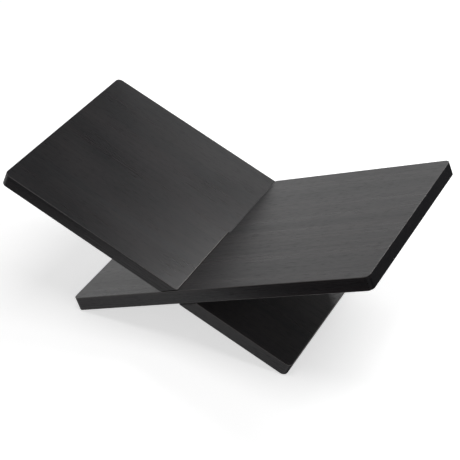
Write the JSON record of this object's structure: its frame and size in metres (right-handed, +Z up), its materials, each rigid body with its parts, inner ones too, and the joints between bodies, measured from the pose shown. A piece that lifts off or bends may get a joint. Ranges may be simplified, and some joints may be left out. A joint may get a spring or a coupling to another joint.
{
  "type": "photo album stand",
  "caption": "X-shaped stand of black-stained wooden boards that cross in slanted half-lap slots and hold an open photo album or large book in a shallow V.",
  "frame": {"origin": "on the table, under the middle of the crossing and midway from front to back", "axes": "+X right across the open album, +Y back along its spine, +Z up"},
  "size_m": [0.4308, 0.245, 0.1555],
  "materials": {
    "black_stained_wood": "satin lacquer over black stain, fine straight grain along the board"
  },
  "bodies": {
    "right_board": {"right_board": "black_stained_wood"},
    "left_board": {"left_board": "black_stained_wood"}
  },
  "joints": [
    {"name": "boards_pull_apart", "type": "slide", "parent": "right_board", "child": "left_board", "axis": [0, 1, 0], "range_m": [0, 0.25]}
  ]
}
